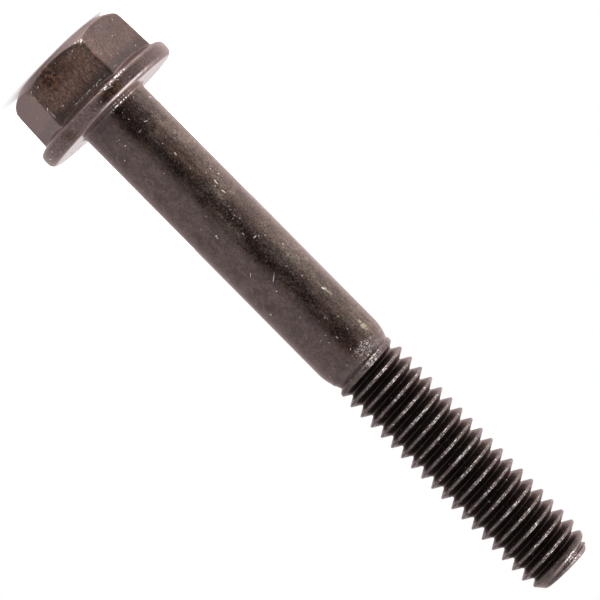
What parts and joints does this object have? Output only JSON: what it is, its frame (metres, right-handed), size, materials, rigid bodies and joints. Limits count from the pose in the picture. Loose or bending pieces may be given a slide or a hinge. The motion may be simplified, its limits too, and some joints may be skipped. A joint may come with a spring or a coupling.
{
  "type": "flange bolt",
  "caption": "Hex bolt with a washer-like flange forged under its head, a plain shank and a coarse rolled thread at the end, for clamping parts together.",
  "frame": {"origin": "on the bolt's axis, in the flat top of the head, which the bolt stands on", "axes": "+Z along the axis from the top of the head to the tip of the thread; +X through two opposite corners of the hexagon"},
  "size_m": [0.0164, 0.0164, 0.0711],
  "materials": {
    "black_oxide_steel": "oiled black oxide, dark brown-grey, worn bright on the high spots"
  },
  "bodies": {
    "root": {"flange_bolt": "black_oxide_steel"}
  },
  "joints": []
}
